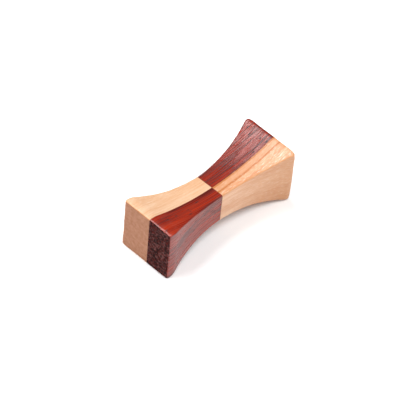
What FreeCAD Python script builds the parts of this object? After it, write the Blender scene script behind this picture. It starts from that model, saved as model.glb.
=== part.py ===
import FreeCAD, Part
import math
import os

# Two-wood chopstick rest: four waisted hardwood blocks glued up as a checkerboard.
# A pale and a red strip are glued side by side, cut across, turned and glued end to end.
# The four long faces of that blank are then hollowed towards the waist, and every outer
# edge is eased, so the blocks and the glue between them end in one common surface.
# Millimetres: X along the rest, Y across it, Z up, origin under the waist on the table.

# Overall size of the finished rest.
LENGTH = 42.0
WIDTH = 16.0
HEIGHT = 15.0

# The waist, where the hollowed faces come closest together.
WAIST_WIDTH = 8.7
WAIST_HEIGHT = 8.5

# Each hollow stops short of the end and runs out into a flat land through a sanded-over crest.
END_LAND = 1.8
CREST_RADIUS = 4.0

# Easing of every outer edge and corner.
EDGE_RADIUS = 0.5

# The lengthwise seam lies a little off centre, because the two strips were not the same width.
SEAM_OFFSET = -0.75
GLUE_THICKNESS = 0.1

# Faces that meet at less than this run on smoothly, and their shared edge is left alone.
SMOOTH_DEGREES = 5.0


def vec(x, y, z=0.0):
    return FreeCAD.Vector(x, y, z)


def quarter_profile(half_end, half_waist):
    """Named points of one quarter of a hollowed outline, with u along the rest and v across it."""
    crest_start = LENGTH / 2 - END_LAND
    depth = half_end - half_waist
    centres_apart = (crest_start**2 + depth**2) / (2 * depth)
    hollow_radius = centres_apart - CREST_RADIUS
    hollow_centre = (0.0, half_waist + hollow_radius)
    crest_centre = (crest_start, half_end - CREST_RADIUS)
    share = hollow_radius / centres_apart
    join = tuple(a + (b - a) * share for a, b in zip(hollow_centre, crest_centre))
    join_angle = math.atan2(join[0], hollow_centre[1] - join[1])
    crest_middle = (
        crest_centre[0] - CREST_RADIUS * math.sin(join_angle / 2),
        crest_centre[1] + CREST_RADIUS * math.cos(join_angle / 2),
    )
    return {
        "waist": (0.0, half_waist),
        "join": join,
        "crest_middle": crest_middle,
        "crest_start": (crest_start, half_end),
        "end": (LENGTH / 2, half_end),
    }


def hollowed_outline(half_end, half_waist):
    """Closed face in the UV plane: a rectangle whose two long sides are hollowed."""
    quarter = quarter_profile(half_end, half_waist)

    def at(name, side_u, side_v):
        u, v = quarter[name]
        return vec(side_u * u, side_v * v)

    curves = []
    for side_v in (1, -1):
        for side_u in (1, -1):
            crest_start = at("crest_start", side_u, side_v)
            crest_middle = at("crest_middle", side_u, side_v)
            join = at("join", side_u, side_v)
            curves.append(Part.LineSegment(at("end", side_u, side_v), crest_start))
            curves.append(Part.Arc(crest_start, crest_middle, join))
        waist = at("waist", 1, side_v)
        curves.append(Part.Arc(at("join", -1, side_v), waist, at("join", 1, side_v)))
    for side_u in (1, -1):
        curves.append(Part.LineSegment(at("end", side_u, 1), at("end", side_u, -1)))
    edges = Part.__sortEdges__([curve.toShape() for curve in curves])
    return Part.Face(Part.Wire(edges))


def plan_prism():
    """The outline seen from above, carried through the full height."""
    outline = hollowed_outline(WIDTH / 2, WAIST_WIDTH / 2)
    return outline.extrude(vec(0, 0, HEIGHT))


def side_prism():
    """The outline seen from the side, carried through the full width."""
    outline = hollowed_outline(HEIGHT / 2, WAIST_HEIGHT / 2)
    outline.rotate(vec(0, 0), vec(1, 0), 90)
    outline.translate(vec(0, WIDTH / 2, HEIGHT / 2))
    return outline.extrude(vec(0, -WIDTH, 0))


def is_corner_edge(shape, edge):
    """True where the two faces beside an edge meet at an angle."""
    middle = edge.valueAt((edge.FirstParameter + edge.LastParameter) / 2)
    normals = []
    for face in shape.ancestorsOfType(edge, Part.Face):
        u, v = face.Surface.parameter(middle)
        normals.append(face.normalAt(u, v))
    return math.degrees(normals[0].getAngle(normals[1])) > SMOOTH_DEGREES


def shaped_blank():
    """The whole rest as shaped and eased, before it is divided into its blocks."""
    blank = plan_prism().common(side_prism()).Solids[0]
    corners = [edge for edge in blank.Edges if is_corner_edge(blank, edge)]
    return blank.makeFillet(EDGE_RADIUS, corners)


def slab(x_from, x_to, y_from, y_to):
    """A box over the full height, between two places along the rest and two across it."""
    return Part.makeBox(x_to - x_from, y_to - y_from, HEIGHT, vec(x_from, y_from))


def divide(blank):
    """The four blocks and the three glue films between them, each cut from the shaped blank."""
    half_glue = GLUE_THICKNESS / 2
    end = LENGTH / 2
    side = WIDTH / 2
    left = (-end, -half_glue)
    right = (half_glue, end)
    back = (SEAM_OFFSET + half_glue, side)
    front = (-side, SEAM_OFFSET - half_glue)
    seam = (SEAM_OFFSET - half_glue, SEAM_OFFSET + half_glue)
    slabs = {
        "pale_block_left": slab(*left, *back),
        "red_block_left": slab(*left, *front),
        "red_block_right": slab(*right, *back),
        "pale_block_right": slab(*right, *front),
        "glue_line_left": slab(*left, *seam),
        "glue_line_right": slab(*right, *seam),
        "glue_joint_waist": slab(-half_glue, half_glue, -side, side),
    }
    return {name: blank.common(cutter).Solids[0] for name, cutter in slabs.items()}


def main():
    os.makedirs("parts", exist_ok=True)
    blank = shaped_blank()
    pieces = divide(blank)
    for name, solid in pieces.items():
        solid.exportStep(os.path.join("parts", name + ".step"))
        box = solid.optimalBoundingBox()
        size = f"{box.XLength:.2f} x {box.YLength:.2f} x {box.ZLength:.2f} mm"
        print(f"{name}: {size}, {solid.Volume:.1f} mm3")
    total = sum(solid.Volume for solid in pieces.values())
    print(f"whole rest {total:.1f} mm3, shaped blank {blank.Volume:.1f} mm3")


main()
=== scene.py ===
import bpy
import math
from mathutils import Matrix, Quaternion, Vector


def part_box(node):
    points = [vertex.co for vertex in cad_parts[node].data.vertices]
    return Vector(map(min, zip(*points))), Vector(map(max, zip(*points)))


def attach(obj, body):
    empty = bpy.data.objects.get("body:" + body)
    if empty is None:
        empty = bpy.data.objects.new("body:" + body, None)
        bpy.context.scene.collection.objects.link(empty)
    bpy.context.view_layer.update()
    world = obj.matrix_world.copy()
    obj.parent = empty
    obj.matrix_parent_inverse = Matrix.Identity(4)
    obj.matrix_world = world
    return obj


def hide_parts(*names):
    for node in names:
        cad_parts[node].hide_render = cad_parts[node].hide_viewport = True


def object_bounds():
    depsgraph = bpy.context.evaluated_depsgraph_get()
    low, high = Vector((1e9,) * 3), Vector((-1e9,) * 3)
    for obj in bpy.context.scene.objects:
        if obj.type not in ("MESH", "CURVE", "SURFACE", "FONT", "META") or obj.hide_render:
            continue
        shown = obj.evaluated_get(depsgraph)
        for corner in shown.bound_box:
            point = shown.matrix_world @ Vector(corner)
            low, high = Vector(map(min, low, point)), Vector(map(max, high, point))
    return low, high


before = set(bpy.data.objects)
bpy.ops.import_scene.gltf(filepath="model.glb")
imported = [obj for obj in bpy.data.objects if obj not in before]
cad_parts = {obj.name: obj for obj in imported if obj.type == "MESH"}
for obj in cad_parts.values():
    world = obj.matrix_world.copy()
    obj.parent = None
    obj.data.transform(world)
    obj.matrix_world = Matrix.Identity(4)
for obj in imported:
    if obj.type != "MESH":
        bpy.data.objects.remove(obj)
cadBox = [list(corner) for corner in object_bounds()]
print("frame loaded:", ", ".join(sorted(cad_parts)))

mm = 0.001
tiny = 1e-9  # metres, keeps a division off zero
mathNode = "ShaderNodeMath"
vectorNode = "ShaderNodeVectorMath"


def linearColour(hexText):
    # sRGB hex to the linear colour that the nodes take
    shares = [int(hexText[i:i + 2], 16) / 255 for i in (0, 2, 4)]
    return tuple(s / 12.92 if s <= 0.04045 else ((s + 0.055) / 1.055) ** 2.4 for s in shares) + (1.0,)


def addNode(tree, kind, values=(), out=0, **settings):
    # adds a node, sets it, fills or links its sockets by place or name, and gives the output wanted
    node = tree.nodes.new(kind)
    for name, value in settings.items():
        setattr(node, name, value)
    sockets = [socket for socket in node.inputs if socket.enabled]
    filled = values.items() if isinstance(values, dict) else enumerate(values)
    for key, value in filled:
        socket = sockets[key] if isinstance(key, int) else next(s for s in sockets if s.name == key)
        if isinstance(value, bpy.types.NodeSocket):
            tree.links.new(value, socket)
        elif value is not None:
            socket.default_value = value
    results = [socket for socket in node.outputs if socket.enabled]
    return results[out] if isinstance(out, int) else next(s for s in results if s.name == out)


# The shape: one rule for the four blocks and for the glue between them.
# The overall size, the waist and the seams are the frame's own.
wholeLow, wholeHigh = (Vector(corner) for corner in cadBox)
waistLow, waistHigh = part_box("glue_joint_waist")
wholeSize = wholeHigh - wholeLow
waistSize = waistHigh - waistLow

restShape = {
    "edgeRadius": 0.45 * mm,
    "edgeUnevenness": 0.3,  # share by which hand sanding varies that radius
    "edgeWaves": 150.0,  # noise cells to the metre
    "faceUnevenness": 0.04 * mm,  # how far the sanded faces wander
    "faceWaves": 170.0,
    "cornerReach": 1.6 * mm,
    "meshPitch": 0.125 * mm,
    "crispTurn": math.radians(50),  # mesh edges that turn more than this are shaded sharp
    "endGrainTurn": math.radians(40),  # faces this near square to the length show end grain
}

# Shaped by hand, so the two ends differ. The land is the flat left beyond the hollow, and the crest is
# the radius sanded between the two. Lean and skew push an end's face out at its top and back, widening
# and heightening are shares, and the extra is how much rounder its corners are than its edges.
endShapes = {
    "left": {
        "land": 0.8 * mm,
        "crest": 6.0 * mm,
        "inputs": {
            "End Lean": 0.18 * mm, "End Skew": -0.18 * mm,
            "End Widening": -0.02, "End Heightening": -0.01, "Corner Extra": 0.2,
        },
    },
    "right": {
        "land": 0.4 * mm,
        "crest": 3.0 * mm,
        "inputs": {
            "End Lean": 0.12 * mm, "End Skew": 0.20 * mm,
            "End Widening": 0.03, "End Heightening": 0.027, "Corner Extra": 1.3,
        },
    },
    "waist": {"land": 1.8 * mm, "crest": 4.0 * mm, "inputs": {}},
}

# Open vessels of the red wood: one in some of the cells, a short thin cavity along the grain.
vessels = {
    "spacing": 0.6 * mm,  # across the grain
    "stretch": 6.0,  # cell length over cell width
    "share": 0.2,  # of the cells that hold one
    "rim": 0.34,  # where a vessel's wall starts, in cells from its middle
    "core": 0.18,
    "depth": 0.05 * mm,
}
vesselScale = (
    1 / (vessels["spacing"] * vessels["stretch"]),
    1 / vessels["spacing"],
    1 / vessels["spacing"],
)


def hollowSizes(land, crest):
    # radius of each hollow, and where it meets its crest, across and up: arcs that touch without a kink
    crestStart = wholeSize.x / 2 - land
    radii, joins, joinHalves = [], [], []
    for whole, waist in ((wholeSize.y, waistSize.y), (wholeSize.z, waistSize.z)):
        depth = (whole - waist) / 2
        centresApart = (crestStart**2 + depth**2) / (2 * depth)
        radius = centresApart - crest
        join = crestStart * radius / centresApart
        radii.append(radius)
        joins.append(join)
        joinHalves.append(waist / 2 + radius - math.sqrt(radius**2 - join**2))
    return {
        "Hollow Radius": (1, *radii),
        "Hollow Join": (0, *joins),
        "Half At Join": (0, *joinHalves),
        "Crest Start": crestStart,
        "Crest Radius": crest,
    }


def openVessels(tree, place, splitter):
    # 1 inside an open vessel, 0 elsewhere
    cells = addNode(tree, vectorNode, [place, vesselScale], operation="MULTIPLY")
    fromVessel = addNode(tree, "ShaderNodeTexVoronoi", {"Vector": cells, "Scale": 1.0})
    pick = addNode(tree, splitter, [fromVessel.node.outputs["Color"]])
    present = addNode(tree, mathNode, [pick, vessels["share"]], operation="LESS_THAN")
    opened = addNode(tree, "ShaderNodeMapRange", {
        "Value": fromVessel, "From Min": vessels["rim"], "From Max": vessels["core"],
    }, interpolation_type="SMOOTHSTEP")
    return addNode(tree, mathNode, [opened, present], operation="MULTIPLY")


halfWhole = wholeSize / 2

blockInputs = {
    "Half Size": tuple(halfWhole),
    "Half Waist": (0, waistSize.y / 2, waistSize.z / 2),
    "Hollow Radius": (0, 0, 0),
    "Hollow Join": (0, 0, 0),
    "Half At Join": (0, 0, 0),
    "Crest Start": 0.0,
    "Crest Radius": 0.0,
    "Edge Radius": restShape["edgeRadius"],
    "Edge Unevenness": restShape["edgeUnevenness"],
    "Corner Extra": 0.0,
    "Corner Reach": restShape["cornerReach"],
    "Face Unevenness": restShape["faceUnevenness"],
    "End Lean": 0.0,
    "End Skew": 0.0,
    "End Widening": 0.0,
    "End Heightening": 0.0,
    "From": (0, 0, 0),
    "To": (0, 0, 0),
    "Steps Along": 2,
    "Steps Across": 2,
    "Steps Up": 2,
    "Vessel Depth": 0.0,
    "Sink": 0.0,
    "Finish": None,
    "End Finish": None,
}


def buildBlockTree():
    # a grid box between two planes along and two across, pushed out to the hollowed and eased outline
    tree = bpy.data.node_groups.new("waistedBlock", "GeometryNodeTree")
    tree.interface.new_socket("Geometry", in_out="OUTPUT", socket_type="NodeSocketGeometry")
    kinds = {tuple: "NodeSocketVector", float: "NodeSocketFloat", int: "NodeSocketInt"}
    for name, value in blockInputs.items():
        kind = kinds.get(type(value), "NodeSocketMaterial")
        tree.interface.new_socket(name, in_out="INPUT", socket_type=kind)
    given = tree.nodes.new("NodeGroupInput").outputs

    box = addNode(tree, "GeometryNodeMeshCube", {
        "Vertices X": given["Steps Along"],
        "Vertices Y": given["Steps Across"],
        "Vertices Z": given["Steps Up"],
    })
    place = addNode(tree, "GeometryNodeInputPosition")
    share = addNode(tree, vectorNode, [place, (0.5, 0.5, 0.5)], operation="ADD")
    shareParts = addNode(tree, "ShaderNodeSeparateXYZ", [share]).node.outputs
    fromParts = addNode(tree, "ShaderNodeSeparateXYZ", [given["From"]]).node.outputs
    toParts = addNode(tree, "ShaderNodeSeparateXYZ", [given["To"]]).node.outputs
    along = addNode(tree, "ShaderNodeMapRange", {
        "Value": shareParts[0], "To Min": fromParts[0], "To Max": toParts[0],
    })

    # half the width and height here, worked as one vector: the hollow's arc, then the crest's, then the land
    away = addNode(tree, mathNode, [along], operation="ABSOLUTE")
    inHollow = addNode(tree, vectorNode, [away, given["Hollow Join"]], operation="MINIMUM")
    inHollowSquare = addNode(tree, vectorNode, [inHollow, inHollow], operation="MULTIPLY")
    radius = given["Hollow Radius"]
    radiusSquare = addNode(tree, vectorNode, [radius, radius], operation="MULTIPLY")
    hollowSquare = addNode(tree, vectorNode, [radiusSquare, inHollowSquare], operation="SUBTRACT")
    hollowReach = addNode(tree, vectorNode, [hollowSquare, (0.5, 0.5, 0.5)], operation="POWER")
    hollowTop = addNode(tree, vectorNode, [given["Half Waist"], radius], operation="ADD")
    hollow = addNode(tree, vectorNode, [hollowTop, hollowReach], operation="SUBTRACT")
    pastJoin = addNode(tree, vectorNode, [away, given["Hollow Join"]], operation="MAXIMUM")
    beforeLand = addNode(tree, vectorNode, [given["Crest Start"], pastJoin], operation="SUBTRACT")
    onCrest = addNode(tree, vectorNode, [beforeLand, (0, 0, 0)], operation="MAXIMUM")
    onCrestSquare = addNode(tree, vectorNode, [onCrest, onCrest], operation="MULTIPLY")
    crest = given["Crest Radius"]
    crestSquare = addNode(tree, mathNode, [crest, crest], operation="MULTIPLY")
    crestLeft = addNode(tree, vectorNode, [crestSquare, onCrestSquare], operation="SUBTRACT")
    crestReach = addNode(tree, vectorNode, [crestLeft, (0.5, 0.5, 0.5)], operation="POWER")
    crestFoot = addNode(tree, vectorNode, [given["Half Size"], crest], operation="SUBTRACT")
    crested = addNode(tree, vectorNode, [crestFoot, crestReach], operation="ADD")
    crestGain = addNode(tree, vectorNode, [crested, given["Half At Join"]], operation="SUBTRACT")
    halfHere = addNode(tree, vectorNode, [hollow, crestGain], operation="ADD")
    halfParts = addNode(tree, "ShaderNodeSeparateXYZ", [halfHere]).node.outputs
    halfLength = addNode(tree, "ShaderNodeSeparateXYZ", [given["Half Size"]])

    # this grid point before easing, measured from mid-height
    minusHalf = addNode(tree, mathNode, [halfParts[1], -1.0], operation="MULTIPLY")
    lowAcross = addNode(tree, mathNode, [fromParts[1], minusHalf], operation="MAXIMUM")
    highAcross = addNode(tree, mathNode, [toParts[1], halfParts[1]], operation="MINIMUM")
    across = addNode(tree, "ShaderNodeMapRange", {
        "Value": shareParts[1], "To Min": lowAcross, "To Max": highAcross,
    })
    minusHigh = addNode(tree, mathNode, [halfParts[2], -1.0], operation="MULTIPLY")
    up = addNode(tree, "ShaderNodeMapRange", {
        "Value": shareParts[2], "To Min": minusHigh, "To Max": halfParts[2],
    })
    square = addNode(tree, "ShaderNodeCombineXYZ", [along, across, up])
    outer = addNode(tree, "ShaderNodeCombineXYZ", [halfLength, halfParts[1], halfParts[2]])

    # easing: what lies past an inner box is drawn in to an arc round it, a little unevenly
    wander = addNode(tree, "ShaderNodeTexNoise", {
        "Vector": square, "Scale": restShape["edgeWaves"], "Detail": 1.0,
    })
    uneven = addNode(tree, "ShaderNodeMapRange", {
        "Value": wander, "From Min": 0.3, "From Max": 0.7, "To Min": -1.0, "To Max": 1.0,
    })
    factor = addNode(tree, mathNode, [uneven, given["Edge Unevenness"], 1.0], operation="MULTIPLY_ADD")
    outwards = addNode(tree, vectorNode, [square], operation="ABSOLUTE")
    inFrom = addNode(tree, vectorNode, [outer, outwards], operation="SUBTRACT")
    reachShare = addNode(tree, vectorNode, [inFrom, given["Corner Reach"]], operation="DIVIDE")
    nearness = addNode(tree, vectorNode, [(1, 1, 1), reachShare], operation="SUBTRACT")
    nearFaces = addNode(tree, vectorNode, [nearness, (0, 0, 0)], operation="MAXIMUM")
    nearParts = addNode(tree, "ShaderNodeSeparateXYZ", [nearFaces]).node.outputs
    nearEdge = addNode(tree, mathNode, [nearParts[0], nearParts[1]], operation="MULTIPLY")
    nearCorner = addNode(tree, mathNode, [nearEdge, nearParts[2]], operation="MULTIPLY")
    extra = addNode(tree, mathNode, [nearCorner, given["Corner Extra"], factor], operation="MULTIPLY_ADD")
    eased = addNode(tree, mathNode, [given["Edge Radius"], extra], operation="MULTIPLY")
    inner = addNode(tree, vectorNode, [outer, eased], operation="SUBTRACT")
    innerLow = addNode(tree, vectorNode, [inner, (-1, -1, -1)], operation="MULTIPLY")
    heldLow = addNode(tree, vectorNode, [square, innerLow], operation="MAXIMUM")
    core = addNode(tree, vectorNode, [heldLow, inner], operation="MINIMUM")
    past = addNode(tree, vectorNode, [square, core], operation="SUBTRACT")
    pastSizes = addNode(tree, vectorNode, [past], operation="ABSOLUTE")
    pastParts = addNode(tree, "ShaderNodeSeparateXYZ", [pastSizes]).node.outputs
    larger = addNode(tree, mathNode, [pastParts[0], pastParts[1]], operation="MAXIMUM")
    largest = addNode(tree, mathNode, [larger, pastParts[2]], operation="MAXIMUM")
    pastLength = addNode(tree, vectorNode, [past], out="Value", operation="LENGTH")
    safeLength = addNode(tree, mathNode, [pastLength, tiny], operation="MAXIMUM")
    drawIn = addNode(tree, mathNode, [largest, safeLength], operation="DIVIDE")
    easedPast = addNode(tree, vectorNode, {"Vector": past, "Scale": drawIn}, operation="SCALE")
    easedPlace = addNode(tree, vectorNode, [core, easedPast], operation="ADD")
    halfSizeParts = halfLength.node.outputs
    lift = addNode(tree, "ShaderNodeCombineXYZ", {"Z": halfSizeParts[2]})
    standing = addNode(tree, vectorNode, [easedPlace, lift], operation="ADD")

    # the hand-shaped ends: nothing at the waist, all of it at the end
    lengthShare = addNode(tree, mathNode, [along, halfLength], operation="DIVIDE")
    endShare = addNode(tree, mathNode, [lengthShare, lengthShare], operation="MULTIPLY")
    signedShare = addNode(tree, mathNode, [endShare, lengthShare], operation="MULTIPLY")
    fromMiddle = addNode(tree, vectorNode, [easedPlace, given["Half Size"]], operation="DIVIDE")
    middleParts = addNode(tree, "ShaderNodeSeparateXYZ", [fromMiddle]).node.outputs
    skewed = addNode(tree, mathNode, [middleParts[1], given["End Skew"]], operation="MULTIPLY")
    pushed = addNode(tree, mathNode, [middleParts[2], given["End Lean"], skewed], operation="MULTIPLY_ADD")
    push = addNode(tree, mathNode, [pushed, signedShare], operation="MULTIPLY")
    wider = addNode(tree, mathNode, [given["End Widening"], endShare, 1.0], operation="MULTIPLY_ADD")
    taller = addNode(tree, mathNode, [given["End Heightening"], endShare, 1.0], operation="MULTIPLY_ADD")
    growth = addNode(tree, "ShaderNodeCombineXYZ", [1.0, wider, taller])
    grown = addNode(tree, vectorNode, [standing, growth], operation="MULTIPLY")
    pushVector = addNode(tree, "ShaderNodeCombineXYZ", [push])
    shapedPlace = addNode(tree, vectorNode, [grown, pushVector], operation="ADD")

    # relief: sanded faces wander, open vessels sink in, and glue lies a little below the wood
    swell = addNode(tree, "ShaderNodeTexNoise", {
        "Vector": standing, "Scale": restShape["faceWaves"], "Detail": 2.0, "Roughness": 0.35,
    })
    wave = addNode(tree, "ShaderNodeMapRange", {"Value": swell, "To Min": -1.0, "To Max": 1.0})
    cavity = openVessels(tree, standing, "FunctionNodeSeparateColor")
    sunk = addNode(tree, mathNode, [cavity, given["Vessel Depth"], given["Sink"]], operation="MULTIPLY_ADD")
    raised = addNode(tree, mathNode, [wave, given["Face Unevenness"]], operation="MULTIPLY")
    relief = addNode(tree, mathNode, [raised, sunk], operation="SUBTRACT")
    perRadius = addNode(tree, mathNode, [relief, eased], operation="DIVIDE")
    moved = addNode(tree, vectorNode, {"Vector": easedPast, "Scale": perRadius}, operation="SCALE")
    final = addNode(tree, vectorNode, [shapedPlace, moved], operation="ADD")

    # how far round an eased edge a point lies: 0 on a face, 1 at the middle of the edge
    both = addNode(tree, mathNode, [pastParts[0], pastParts[1]], operation="ADD")
    total = addNode(tree, mathNode, [both, pastParts[2]], operation="ADD")
    second = addNode(tree, mathNode, [total, largest], operation="SUBTRACT")
    easing = addNode(tree, mathNode, [second, eased], operation="DIVIDE", use_clamp=True)
    marked = addNode(tree, "GeometryNodeStoreNamedAttribute", {
        "Geometry": box, "Name": "easing", "Value": easing,
    }, data_type="FLOAT", domain="POINT")
    shaped = addNode(tree, "GeometryNodeSetPosition", {"Geometry": marked, "Position": final})
    smooth = addNode(tree, "GeometryNodeSetShadeSmooth", {
        "Geometry": shaped, "Shade Smooth": True,
    }, domain="FACE")
    turn = addNode(tree, "GeometryNodeInputMeshEdgeAngle")
    sharp = addNode(tree, mathNode, [turn, restShape["crispTurn"]], operation="GREATER_THAN")
    crisp = addNode(tree, "GeometryNodeSetShadeSmooth", {
        "Geometry": smooth, "Selection": sharp, "Shade Smooth": False,
    }, domain="EDGE")
    real = addNode(tree, "GeometryNodeRealizeInstances", {"Geometry": crisp})
    sides = addNode(tree, "GeometryNodeSetMaterial", {"Geometry": real, "Material": given["Finish"]})
    normal = addNode(tree, "GeometryNodeInputNormal")
    facing = addNode(tree, "ShaderNodeSeparateXYZ", [normal])
    facingSize = addNode(tree, mathNode, [facing], operation="ABSOLUTE")
    squareOn = math.cos(restShape["endGrainTurn"])
    endGrain = addNode(tree, mathNode, [facingSize, squareOn], operation="GREATER_THAN")
    dressed = addNode(tree, "GeometryNodeSetMaterial", {
        "Geometry": sides, "Selection": endGrain, "Material": given["End Finish"],
    })
    tree.links.new(dressed, tree.nodes.new("NodeGroupOutput").inputs[0])
    return tree


def steps(length):
    return max(2, math.ceil(length / restShape["meshPitch"]) + 1)


def makePiece(name, tree, node, finish, endFinish, slotName, **changes):
    # one block or glue film, where the frame has its node
    low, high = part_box(node)
    size = high - low
    inputs = dict(blockInputs)
    inputs["From"] = (low.x, low.y, 0)
    inputs["To"] = (high.x, high.y, 0)
    inputs["Steps Along"] = steps(size.x)
    inputs["Steps Across"] = steps(size.y)
    inputs["Steps Up"] = steps(size.z)
    inputs["Finish"] = finish
    inputs["End Finish"] = endFinish
    endShape = endShapes[node.split("_")[-1]]
    inputs.update(endShape["inputs"])
    inputs.update(hollowSizes(endShape["land"], endShape["crest"]))
    inputs.update(changes)
    source = bpy.data.objects.new(name + ".source", bpy.data.meshes.new(name + ".source"))
    bpy.context.scene.collection.objects.link(source)
    modifier = source.modifiers.new("waistedBlock", "NODES")
    modifier.node_group = tree
    for item in tree.interface.items_tree:
        if item.in_out == "INPUT":
            modifier[item.identifier] = inputs[item.name]
    bpy.context.view_layer.update()
    evaluated = source.evaluated_get(bpy.context.evaluated_depsgraph_get())
    mesh = bpy.data.meshes.new_from_object(evaluated)
    source.modifiers.clear()
    bpy.data.objects.remove(source)
    mesh.name = name
    piece = bpy.data.objects.new(name, mesh)
    bpy.context.scene.collection.objects.link(piece)
    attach(piece, "root")
    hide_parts(node)
    print(name, "made,", len(mesh.polygons), "faces")


# The woods. Space is in millimetres, moved so that each block shows its own part of the plank.


def grainSpace(tree, shift, layers=(1, 1, 1)):
    # a small share in layers draws the grain out that way, so a face cut across it shows long lines
    place = addNode(tree, "ShaderNodeTexCoord", out="Object")
    return addNode(tree, "ShaderNodeMapping", {
        "Vector": place, "Location": shift, "Scale": tuple(share / mm for share in layers),
    })


def grainLayer(tree, space, width, stretch, detail=2.0):
    # noise of one width across the grain in millimetres, drawn out along it
    scale = (1 / (width * stretch), 1 / width, 1 / width)
    drawn = addNode(tree, vectorNode, [space, scale], operation="MULTIPLY")
    return addNode(tree, "ShaderNodeTexNoise", {"Vector": drawn, "Scale": 1.0, "Detail": detail})


def darkVessels(tree):
    # the cells of the dimples in the mesh. The two part towards the ends, by up to about 0.5 mm across the
    # grain at the right one, because the ends are reshaped after the dimples are placed.
    place = addNode(tree, "ShaderNodeTexCoord", out="Object")
    return openVessels(tree, place, "ShaderNodeSeparateColor")


def startMaterial(name, look):
    material = bpy.data.materials.new(name)
    material.use_nodes = True
    surface = material.node_tree.nodes["Principled BSDF"]
    surface.inputs["Specular IOR Level"].default_value = look["specular"]
    return material, material.node_tree, surface


# How much of a face's normal points up: below one share the face counts as upright, above the other as
# level. Then how the grain is drawn out on each kind.
faceGrain = {
    "uprightBelow": 0.3,
    "levelAbove": 0.8,
    "onLevel": (1, 1, 0.12),
    "onUpright": (1, 0.2, 1),
}


def levelShare(tree):
    # 1 on faces that lie flat, 0 on upright ones
    normal = addNode(tree, "ShaderNodeNewGeometry", out="Normal")
    facing = addNode(tree, "ShaderNodeSeparateXYZ", [normal], out="Z")
    facingSize = addNode(tree, mathNode, [facing], operation="ABSOLUTE")
    return addNode(tree, "ShaderNodeMapRange", {
        "Value": facingSize, "From Min": faceGrain["uprightBelow"], "From Max": faceGrain["levelAbove"],
    })


def longGrain(tree, level, shift, width, stretch, detail=2.0):
    # grain that runs lengthwise on every long face, whichever way the face is hollowed
    onTop = grainLayer(tree, grainSpace(tree, shift, faceGrain["onLevel"]), width, stretch, detail)
    onSide = grainLayer(tree, grainSpace(tree, shift, faceGrain["onUpright"]), width, stretch, detail)
    return addNode(tree, "ShaderNodeMix", {"Factor": level, "A": onSide, "B": onTop})


# Grain widths are in millimetres and a stretch is length over width. A range is where a tone sets in and
# where it is full.
redWood = {
    "dark": "4A100A",
    "vessel": "220605",
    "bands": {"width": 2.4, "stretch": 10.0, "detail": 3.0},
    "streaks": {"width": 0.8, "stretch": 22.0},
    "fibres": {"stretch": 60.0, "detail": 1.0},
    "middleOver": (-0.26, 0.06),  # from deepFrom
    "deepOver": 0.22,
    "lineRange": (0.46, 0.62),
    "glossRange": (0.35, 0.65),
    "fibreDulls": 0.12,
    "vesselDulls": 0.3,
    "streakHeight": 0.5,
    "roughness": 0.24,
    "specular": 0.66,
}


def makeRedWood(name, plank):
    # Padauk, planed, sanded and oiled: orange-red with darker lengthwise streaks, open vessels and a
    # satin sheen
    look = redWood
    material, tree, surface = startMaterial(name, look)
    level = levelShare(tree)

    # broad bands of growth and fine fibre lines set the colour
    bands = longGrain(tree, level, plank["shift"], **look["bands"])
    streaks = longGrain(tree, level, plank["shift"], **look["streaks"])
    fibres = longGrain(tree, level, plank["shift"], plank["fibreWidth"], **look["fibres"])
    figure = addNode(tree, mathNode, [streaks, plank["streaks"], bands], operation="MULTIPLY_ADD")
    deepFrom = plank["deepFrom"]
    middleFrom, middleFull = (deepFrom + over for over in look["middleOver"])
    depth = addNode(tree, "ShaderNodeMapRange", {
        "Value": figure, "From Min": middleFrom, "From Max": middleFull,
    })
    warm = addNode(tree, "ShaderNodeMix", {
        "Factor": depth, "A": linearColour(plank["bright"]), "B": linearColour(plank["middle"]),
    }, data_type="RGBA")
    lineFrom, lineFull = look["lineRange"]
    lines = addNode(tree, "ShaderNodeMapRange", {
        "Value": fibres, "From Min": lineFrom, "From Max": lineFull,
    })
    deep = addNode(tree, "ShaderNodeMapRange", {
        "Value": figure, "From Min": deepFrom, "From Max": deepFrom + look["deepOver"],
    })
    darker = addNode(tree, mathNode, [lines, plank["lines"], deep], operation="MULTIPLY_ADD", use_clamp=True)
    wood = addNode(tree, "ShaderNodeMix", {
        "Factor": darker, "A": warm, "B": linearColour(look["dark"]),
    }, data_type="RGBA")
    opened = darkVessels(tree)
    colour = addNode(tree, "ShaderNodeMix", {
        "Factor": opened, "A": wood, "B": linearColour(look["vessel"]),
    }, data_type="RGBA")
    tree.links.new(colour, surface.inputs["Base Color"])

    # satin on the fibres, dull in the vessels
    glossFrom, glossFull = look["glossRange"]
    fibreGloss = addNode(tree, "ShaderNodeMapRange", {
        "Value": fibres, "From Min": glossFrom, "From Max": glossFull,
        "To Min": look["roughness"], "To Max": look["roughness"] + look["fibreDulls"],
    })
    dulled = [opened, look["vesselDulls"], fibreGloss]
    gloss = addNode(tree, mathNode, dulled, operation="MULTIPLY_ADD", use_clamp=True)
    tree.links.new(gloss, surface.inputs["Roughness"])
    ridges = addNode(tree, mathNode, [streaks, look["streakHeight"]], operation="MULTIPLY")
    height = addNode(tree, mathNode, [fibres, -1.0, ridges], operation="MULTIPLY_ADD")
    bump = addNode(tree, "ShaderNodeBump", {
        "Height": height, "Strength": 1.0, "Distance": plank["bumpDepth"],
    })
    tree.links.new(bump, surface.inputs["Normal"])
    return material


redEnd = {
    "ground": "1E0807",
    "grey": "603B39",
    "mouth": "4A0D08",
    "freckles": {"Scale": 1.5, "Detail": 2.0, "Roughness": 0.6},
    "freckleRange": (0.44, 0.64),
    "pores": {"Scale": 1.9, "Detail": 1.0},
    "poreRange": (0.52, 0.66),
    "roughness": 0.75,
    "specular": 0.06,
    "bumpDepth": 0.1 * mm,
}


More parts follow.
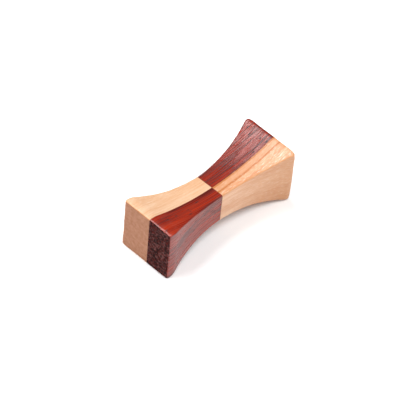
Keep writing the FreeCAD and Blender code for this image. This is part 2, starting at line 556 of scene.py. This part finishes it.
def makeRedEnd(name, shift):
    # The same padauk sawn across: it drinks the oil and goes dull brown-purple, freckled by the vessels'
    # mouths
    look = redEnd
    material, tree, surface = startMaterial(name, look)
    space = grainSpace(tree, shift)
    freckles = addNode(tree, "ShaderNodeTexNoise", {"Vector": space, **look["freckles"]})
    freckleFrom, freckleFull = look["freckleRange"]
    freckled = addNode(tree, "ShaderNodeMapRange", {
        "Value": freckles, "From Min": freckleFrom, "From Max": freckleFull,
    })
    ground = addNode(tree, "ShaderNodeMix", {
        "Factor": freckled, "A": linearColour(look["ground"]), "B": linearColour(look["grey"]),
    }, data_type="RGBA")
    pores = addNode(tree, "ShaderNodeTexNoise", {"Vector": space, **look["pores"]})
    poreFrom, poreFull = look["poreRange"]
    porous = addNode(tree, "ShaderNodeMapRange", {
        "Value": pores, "From Min": poreFrom, "From Max": poreFull,
    })
    opened = darkVessels(tree)
    mouths = addNode(tree, mathNode, [porous, opened], operation="MAXIMUM")
    colour = addNode(tree, "ShaderNodeMix", {
        "Factor": mouths, "A": ground, "B": linearColour(look["mouth"]),
    }, data_type="RGBA")
    tree.links.new(colour, surface.inputs["Base Color"])
    surface.inputs["Roughness"].default_value = look["roughness"]
    height = addNode(tree, mathNode, [freckles, pores], operation="SUBTRACT")
    bump = addNode(tree, "ShaderNodeBump", {
        "Height": height, "Strength": 1.0, "Distance": look["bumpDepth"],
    })
    tree.links.new(bump, surface.inputs["Normal"])
    return material


paleWood = {
    "streak": "B06A34",
    "side": "C08455",
    "fleck": "BA6F45",
    "ray": "E6D6C6",
    # edge: oil soaked into the eased edges, and a painted highlight along them
    "edge": "D08D55",
    "clouds": {"width": 2.0, "stretch": 5.0, "detail": 3.0},
    "fibres": {"width": 0.35, "stretch": 24.0},
    "ringBends": {"width": 3.0, "stretch": 6.0},
    "specks": {"width": 0.18, "stretch": 5.0, "detail": 0.0},
    "fibreTone": 0.8,
    "softRange": (0.7, 1.1),
    "latewoodRange": (0.3, 1.0),
    "breakRange": (0.3, 0.6),
    "breakLeast": 0.35,  # what a break leaves of a growth line
    "ringGround": 0.25,
    "outerRange": (4 * mm, 20 * mm),  # from the waist
    "farTopTone": 0.8,
    "fewestFlecks": 0.3,  # on the sides, and again where the growth lines are
    "darkFleckRange": (0.50, 0.66),
    "lightFleckRange": (0.38, 0.26),
    "edgeOilAndHighlight": 0.7,
    "satinSpread": 0.1,
    "speckHeight": 0.7,
    "roughness": 0.40,
    "specular": 0.55,
    "bumpDepth": 0.05 * mm,
}


def makePaleWood(name, plank):
    # Maple, sanded and oiled: pale and close-grained, with a few warm growth lines and tiny ray flecks
    look = paleWood
    material, tree, surface = startMaterial(name, look)
    level = levelShare(tree)
    clouds = longGrain(tree, level, plank["shift"], **look["clouds"])
    fibres = longGrain(tree, level, plank["shift"], **look["fibres"])
    soft = addNode(tree, mathNode, [fibres, look["fibreTone"], clouds], operation="MULTIPLY_ADD")
    softFrom, softFull = look["softRange"]
    softShare = addNode(tree, "ShaderNodeMapRange", {
        "Value": soft, "From Min": softFrom, "From Max": softFull,
    })
    plain = addNode(tree, "ShaderNodeMix", {
        "Factor": softShare, "A": linearColour(plank["light"]), "B": linearColour(plank["middle"]),
    }, data_type="RGBA")

    # growth rings stand upright in the block: lines and flecks on the top, hardly anything on the sides
    place = addNode(tree, "ShaderNodeTexCoord", out="Object")
    placeParts = addNode(tree, "ShaderNodeSeparateXYZ", [place]).node.outputs
    wander = longGrain(tree, level, plank["shift"], **look["ringBends"])
    bent = addNode(tree, mathNode, [wander, plank["ringBend"], placeParts[1]], operation="MULTIPLY_ADD")
    turned = addNode(tree, mathNode, [bent, math.tau / plank["ringSpacing"]], operation="MULTIPLY")
    shifted = addNode(tree, mathNode, [turned, plank["ringPhase"]], operation="ADD")
    wave = addNode(tree, mathNode, [shifted], operation="COSINE")
    latewoodFrom, latewoodFull = look["latewoodRange"]
    latewood = addNode(tree, "ShaderNodeMapRange", {
        "Value": wave, "From Min": latewoodFrom, "From Max": latewoodFull,
    })
    fade = addNode(tree, "ShaderNodeMapRange", {
        "Value": placeParts[1], "From Min": plank["ringsEnd"], "From Max": plank["ringsStart"],
        "To Max": plank["ringStrength"],
    })
    breakFrom, breakFull = look["breakRange"]
    breaks = addNode(tree, "ShaderNodeMapRange", {
        "Value": fibres, "From Min": breakFrom, "From Max": breakFull,
        "To Min": look["breakLeast"], "To Max": 1.0,
    })
    ringed = addNode(tree, mathNode, [latewood, fade], operation="MULTIPLY")
    broken = addNode(tree, mathNode, [ringed, breaks], operation="MULTIPLY")
    lined = addNode(tree, mathNode, [fade, look["ringGround"], broken], operation="MULTIPLY_ADD")
    outerFrom, outerFull = look["outerRange"]
    outer = addNode(tree, "ShaderNodeMapRange", {
        "Value": placeParts[0], "From Min": outerFrom, "From Max": outerFull,
    })
    topTone = addNode(tree, "ShaderNodeMapRange", {
        "Value": outer, "To Min": plank["topTone"], "To Max": plank["topTone"] * look["farTopTone"],
    })
    toned = addNode(tree, mathNode, [lined, topTone], operation="ADD")
    shown = addNode(tree, mathNode, [toned, level], operation="MULTIPLY", use_clamp=True)
    grained = addNode(tree, "ShaderNodeMix", {
        "Factor": shown, "A": plain, "B": linearColour(look["streak"]),
    }, data_type="RGBA")
    # the upright faces take their own darker, more orange colour, growing from near the waist towards the
    # right-hand end
    upright = addNode(tree, mathNode, [1.0, level], operation="SUBTRACT")
    sideTone = addNode(tree, mathNode, [outer, plank["sideTone"]], operation="MULTIPLY")
    sideShare = addNode(tree, mathNode, [sideTone, upright], operation="MULTIPLY")
    sided = addNode(tree, "ShaderNodeMix", {
        "Factor": sideShare, "A": grained, "B": linearColour(look["side"]),
    }, data_type="RGBA")

    # tiny dark and light flecks along the grain
    beyondRings = addNode(tree, "ShaderNodeMapRange", {
        "Value": placeParts[1], "From Min": plank["ringsStart"], "From Max": plank["ringsEnd"],
        "To Min": look["fewestFlecks"],
    })
    onLevel = addNode(tree, "ShaderNodeMapRange", {"Value": level, "To Min": look["fewestFlecks"]})
    fleckPlace = addNode(tree, mathNode, [beyondRings, onLevel], operation="MULTIPLY")
    fleckShare = addNode(tree, mathNode, [fleckPlace, plank["flecks"]], operation="MULTIPLY")
    specks = longGrain(tree, level, plank["shift"], **look["specks"])
    darkFrom, darkFull = look["darkFleckRange"]
    darkShare = addNode(tree, "ShaderNodeMapRange", {
        "Value": specks, "From Min": darkFrom, "From Max": darkFull, "To Max": fleckShare,
    })
    flecked = addNode(tree, "ShaderNodeMix", {
        "Factor": darkShare, "A": sided, "B": linearColour(look["fleck"]),
    }, data_type="RGBA")
    lightFrom, lightFull = look["lightFleckRange"]
    lightShare = addNode(tree, "ShaderNodeMapRange", {
        "Value": specks, "From Min": lightFrom, "From Max": lightFull, "To Max": fleckShare,
    })
    rayed = addNode(tree, "ShaderNodeMix", {
        "Factor": lightShare, "A": flecked, "B": linearColour(look["ray"]),
    }, data_type="RGBA")

    # the eased edges hold more oil and turn honey-coloured, and the same tint is a painted highlight: an
    # orange rim of light along the edges
    easing = addNode(tree, "ShaderNodeAttribute", out="Fac", attribute_name="easing")
    honeyAndHighlight = addNode(tree, mathNode, [easing, look["edgeOilAndHighlight"]], operation="MULTIPLY")
    colour = addNode(tree, "ShaderNodeMix", {
        "Factor": honeyAndHighlight, "A": rayed, "B": linearColour(look["edge"]),
    }, data_type="RGBA")
    tree.links.new(colour, surface.inputs["Base Color"])
    satin = addNode(tree, "ShaderNodeMapRange", {
        "Value": fibres,
        "To Min": look["roughness"] - look["satinSpread"],
        "To Max": look["roughness"] + look["satinSpread"],
    })
    tree.links.new(satin, surface.inputs["Roughness"])
    height = addNode(tree, mathNode, [specks, look["speckHeight"], fibres], operation="MULTIPLY_ADD")
    bump = addNode(tree, "ShaderNodeBump", {
        "Height": height, "Strength": 1.0, "Distance": look["bumpDepth"],
    })
    tree.links.new(bump, surface.inputs["Normal"])
    return material


paleEnd = {
    "ground": "A5755D",
    "dark": "98694E",
    "line": "B98B70",
    # edge: oil soaked into the eased rims, and a painted highlight along them
    "edge": "BC7F50",
    "mottle": {"Scale": 1.1, "Detail": 4.0},
    "mottleRange": (0.38, 0.66),
    "ringStretch": (1.0, 0.25, 0.7),
    "ringRange": (0.5, 0.7),
    "ringTone": 0.25,
    "edgeOilAndHighlight": 0.8,
    "roughness": 0.75,
    "specular": 0.2,
    "bumpDepth": 0.05 * mm,
}


def makePaleEnd(name, shift):
    # The same maple sawn across: duller and browner than its sides, with faint growth lines
    look = paleEnd
    material, tree, surface = startMaterial(name, look)
    space = grainSpace(tree, shift)
    mottle = addNode(tree, "ShaderNodeTexNoise", {"Vector": space, **look["mottle"]})
    mottleFrom, mottleFull = look["mottleRange"]
    mottled = addNode(tree, "ShaderNodeMapRange", {
        "Value": mottle, "From Min": mottleFrom, "From Max": mottleFull,
    })
    ground = addNode(tree, "ShaderNodeMix", {
        "Factor": mottled, "A": linearColour(look["ground"]), "B": linearColour(look["dark"]),
    }, data_type="RGBA")
    drawn = addNode(tree, vectorNode, [space, look["ringStretch"]], operation="MULTIPLY")
    rings = addNode(tree, "ShaderNodeTexNoise", {"Vector": drawn, "Scale": 1.0, "Detail": 1.0})
    ringFrom, ringFull = look["ringRange"]
    ringShare = addNode(tree, "ShaderNodeMapRange", {
        "Value": rings, "From Min": ringFrom, "From Max": ringFull, "To Max": look["ringTone"],
    })
    lined = addNode(tree, "ShaderNodeMix", {
        "Factor": ringShare, "A": ground, "B": linearColour(look["line"]),
    }, data_type="RGBA")
    # the eased rims hold more oil, and the same lighter tint is a painted highlight along them
    easing = addNode(tree, "ShaderNodeAttribute", out="Fac", attribute_name="easing")
    honeyAndHighlight = addNode(tree, mathNode, [easing, look["edgeOilAndHighlight"]], operation="MULTIPLY")
    colour = addNode(tree, "ShaderNodeMix", {
        "Factor": honeyAndHighlight, "A": lined, "B": linearColour(look["edge"]),
    }, data_type="RGBA")
    tree.links.new(colour, surface.inputs["Base Color"])
    surface.inputs["Roughness"].default_value = look["roughness"]
    bump = addNode(tree, "ShaderNodeBump", {
        "Height": mottle, "Strength": 1.0, "Distance": look["bumpDepth"],
    })
    tree.links.new(bump, surface.inputs["Normal"])
    return material


glueFilm = {
    "light": "7A3A20",
    "dark": "4A2012",
    "smear": {"width": 0.5, "stretch": 3.0},
    "roughness": 0.5,
    "specular": 0.4,
    "sink": 0.01 * mm,  # below the wood
}


def makeGlue():
    # Wood glue squeezed thin and sanded almost flush: a brown hairline between the woods
    look = glueFilm
    material, tree, surface = startMaterial("curedWoodGlue", look)
    space = grainSpace(tree, (0, 0, 0))
    smear = grainLayer(tree, space, **look["smear"])
    colour = addNode(tree, "ShaderNodeMix", {
        "Factor": smear, "A": linearColour(look["light"]), "B": linearColour(look["dark"]),
    }, data_type="RGBA")
    tree.links.new(colour, surface.inputs["Base Color"])
    surface.inputs["Roughness"].default_value = look["roughness"]
    return material


blockTree = buildBlockTree()

# where each block lay in its plank; rings are places across the block in metres
palePlanks = {
    "pale_block_left": {
        "shift": (0, 0, 0), "light": "D6B292", "middle": "CC9E78",
        "flecks": 0.2, "topTone": 0.0, "sideTone": 0.0,
        "ringSpacing": 2.6 * mm, "ringPhase": 1.0, "ringBend": 1.5 * mm,
        "ringsStart": -1.0 * mm, "ringsEnd": 9.0 * mm, "ringStrength": 0.12,
    },
    "pale_block_right": {
        "shift": (40, 6, 3), "light": "E5BB99", "middle": "D39D78",
        "flecks": 0.6, "topTone": 0.34, "sideTone": 0.7,
        "ringSpacing": 1.85 * mm, "ringPhase": 2.6, "ringBend": 0.5 * mm,
        "ringsStart": -2.5 * mm, "ringsEnd": -5.5 * mm, "ringStrength": 0.9,
    },
}
for node, plank in palePlanks.items():
    wood = makePaleWood("sandedMaple." + node, plank)
    end = makePaleEnd("sawnMapleEnd." + node, plank["shift"])
    makePiece(node + "_shaped", blockTree, node, wood, end, "pale_wood")

# fibres are drawn a good deal coarser than real ones, which would be too fine to see
redPlanks = {
    "red_block_left": {
        "shift": (10, 3, 0), "bright": "9E2A0C", "middle": "761706",
        "streaks": 0.65, "deepFrom": 0.88, "fibreWidth": 0.27, "lines": 0.3, "bumpDepth": 0.03 * mm,
    },
    "red_block_right": {
        "shift": (70, -5, 8), "bright": "8A220B", "middle": "741705",
        "streaks": 0.3, "deepFrom": 0.88, "fibreWidth": 0.26, "lines": 1.0, "bumpDepth": 0.12 * mm,
    },
}
for node, plank in redPlanks.items():
    wood = makeRedWood("oiledPadauk." + node, plank)
    end = makeRedEnd("sawnPadaukEnd." + node, plank["shift"])
    opening = {"Vessel Depth": vessels["depth"]}
    makePiece(node + "_shaped", blockTree, node, wood, end, "red_wood", **opening)

glue = makeGlue()
for node in ("glue_line_left", "glue_line_right", "glue_joint_waist"):
    makePiece(node + "_film", blockTree, node, glue, glue, "glue", Sink=glueFilm["sink"])
print("pieces made")


# The studio: a pale floor, softboxes behind, in front and to the left, and a weak even glow all round.


def lookAt(place, target, roll=0.0):
    turn = (target - place).to_track_quat("-Z", "Y")
    return turn @ Quaternion((0, 0, 1), math.radians(roll))


def addSoftbox(name, direction, distance, size, share):
    # the power that lights the floor at the rest to the given share of white
    light = bpy.data.lights.new(name, "AREA")
    light.shape = "RECTANGLE"
    light.size = size[0]
    light.size_y = size[1]
    light.energy = share * math.pi**2 * distance**2 / Vector(direction).normalized().z
    lamp = bpy.data.objects.new(name, light)
    target = Vector((0, 0, halfWhole.z))
    lamp.location = target + Vector(direction).normalized() * distance
    lamp.rotation_mode = "QUATERNION"
    lamp.rotation_quaternion = lookAt(lamp.location, target)
    bpy.context.scene.collection.objects.link(lamp)


studio = {
    "floorSize": 8.0,
    "floorColour": "F7F7F7",
    "floorRoughness": 0.9,
    "floorSpecular": 0.1,
    "worldStrength": 0.12,
    "lightDistance": 1.2,
}
# direction from the rest, size in metres, and the share of white that each gives the floor
softboxes = {
    "backSoftbox": {"direction": (-0.06, 0.455, 0.89), "size": (0.66, 0.50), "share": 0.58},
    "frontSoftbox": {"direction": (0.03, -0.43, 0.90), "size": (1.25, 1.10), "share": 1.01},
    "leftSoftbox": {"direction": (-0.74, 0.36, 0.56), "size": (0.60, 0.50), "share": 0.30},
}
floorMesh = bpy.data.meshes.new("floor")
reach = studio["floorSize"] / 2
corners = [(-reach, -reach, 0), (reach, -reach, 0), (reach, reach, 0), (-reach, reach, 0)]
floorMesh.from_pydata(corners, [], [(0, 1, 2, 3)])
floor = bpy.data.objects.new("floor", floorMesh)
bpy.context.scene.collection.objects.link(floor)
# Matt white paper: an even ground that takes a soft shadow and shows no sheen
paper, _, paperSurface = startMaterial("mattPaper", {"specular": studio["floorSpecular"]})
paperSurface.inputs["Base Color"].default_value = linearColour(studio["floorColour"])
paperSurface.inputs["Roughness"].default_value = studio["floorRoughness"]
floorMesh.materials.append(paper)

world = bpy.data.worlds.new("studio")
world.use_nodes = True
glow = world.node_tree.nodes["Background"]
glow.inputs["Color"].default_value = (1, 1, 1, 1)
glow.inputs["Strength"].default_value = studio["worldStrength"]
bpy.context.scene.world = world

for name, box in softboxes.items():
    addSoftbox(name, box["direction"], studio["lightDistance"], box["size"], box["share"])

# The camera looks down on the left end, turned a little, through a long lens.
cameraSetup = {
    "azimuth": -49.93,
    "elevation": 45.12,
    "roll": 6.49,
    "distance": 0.9,
    "lens": 325.7,
    "sensor": 36.0,
    "nearest": 0.01,
    "aim": (-1.10 * mm, -1.19 * mm, -1.60 * mm),  # from the middle of the rest
}
azimuth = math.radians(cameraSetup["azimuth"])
elevation = math.radians(cameraSetup["elevation"])
back = Vector((
    math.sin(azimuth) * math.cos(elevation),
    -math.cos(azimuth) * math.cos(elevation),
    math.sin(elevation),
))
aim = (wholeLow + wholeHigh) / 2 + Vector(cameraSetup["aim"])
cameraData = bpy.data.cameras.new("camera")
cameraData.lens = cameraSetup["lens"]
cameraData.sensor_width = cameraSetup["sensor"]
cameraData.clip_start = cameraSetup["nearest"]
camera = bpy.data.objects.new("camera", cameraData)
camera.location = aim + back * cameraSetup["distance"]
camera.rotation_mode = "QUATERNION"
camera.rotation_quaternion = lookAt(camera.location, aim, cameraSetup["roll"])
bpy.context.scene.collection.objects.link(camera)
bpy.context.scene.camera = camera
bpy.context.scene.view_settings.view_transform = "Standard"
print("studio and camera set")
